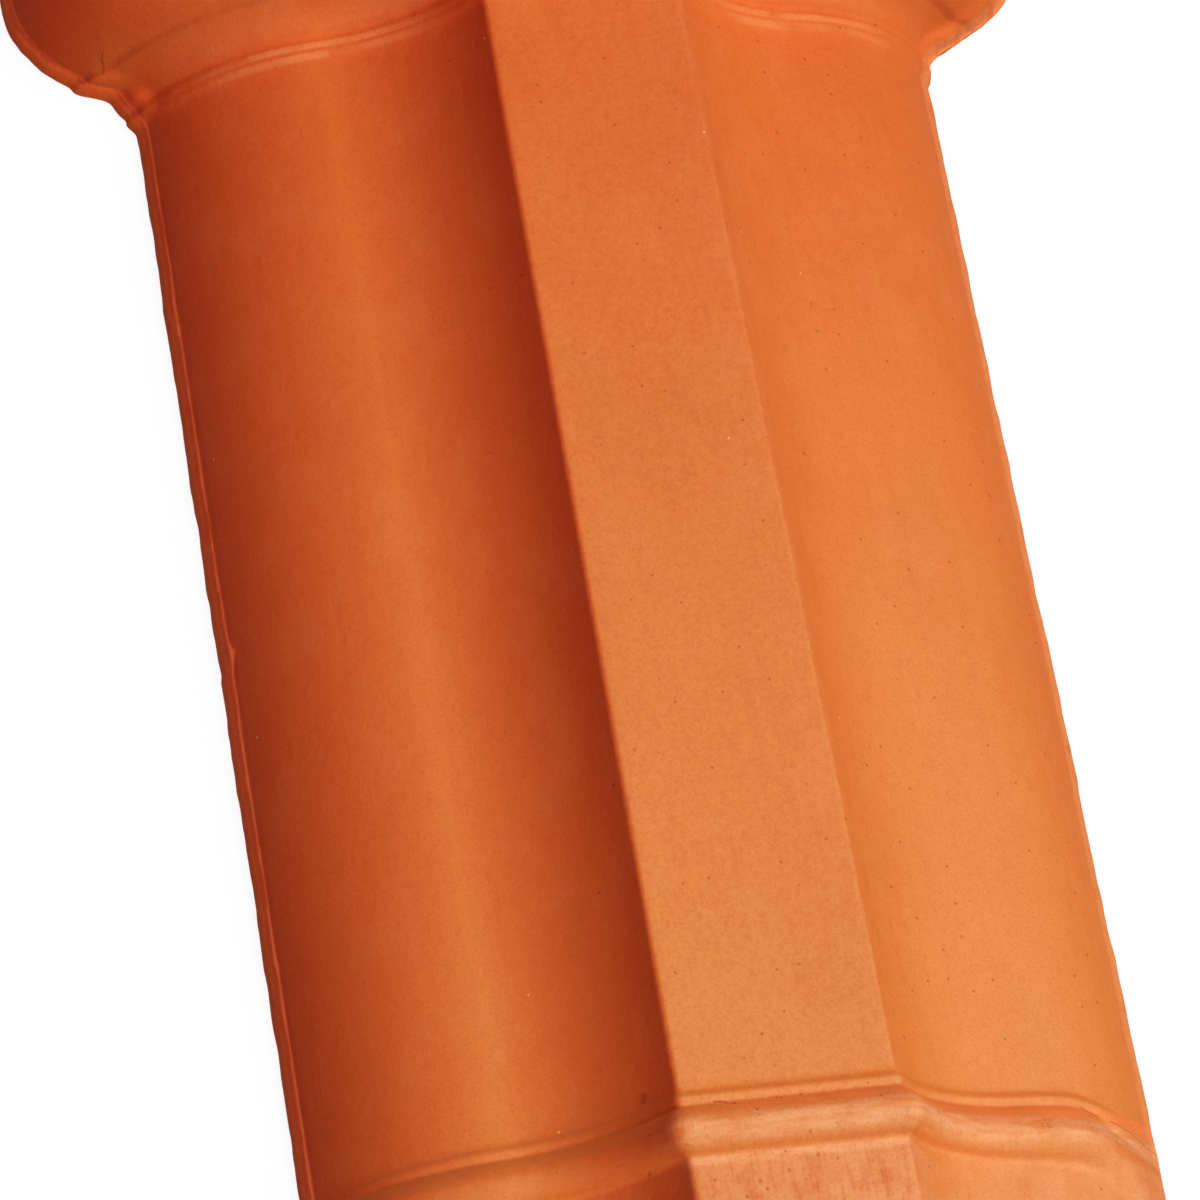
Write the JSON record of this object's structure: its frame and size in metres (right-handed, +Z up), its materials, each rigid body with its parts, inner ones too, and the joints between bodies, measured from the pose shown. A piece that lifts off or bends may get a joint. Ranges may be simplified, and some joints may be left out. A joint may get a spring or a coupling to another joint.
{
  "type": "clay ridge tile",
  "caption": "Pressed clay ridge tile: a flat-crested arch with rolled wings, a stop bead before its plain spigot and a round flared collar that laps the next tile.",
  "frame": {"origin": "middle of the tile's box, on the plane of its two feet", "axes": "+Z up from the feet, +Y along the ridge towards the collar's mouth, +X across the ridge"},
  "size_m": [0.2958, 0.4462, 0.0971],
  "materials": {
    "fired_clay": "matte unglazed terracotta"
  },
  "bodies": {
    "root": {"ridge_tile": "fired_clay"}
  },
  "joints": []
}
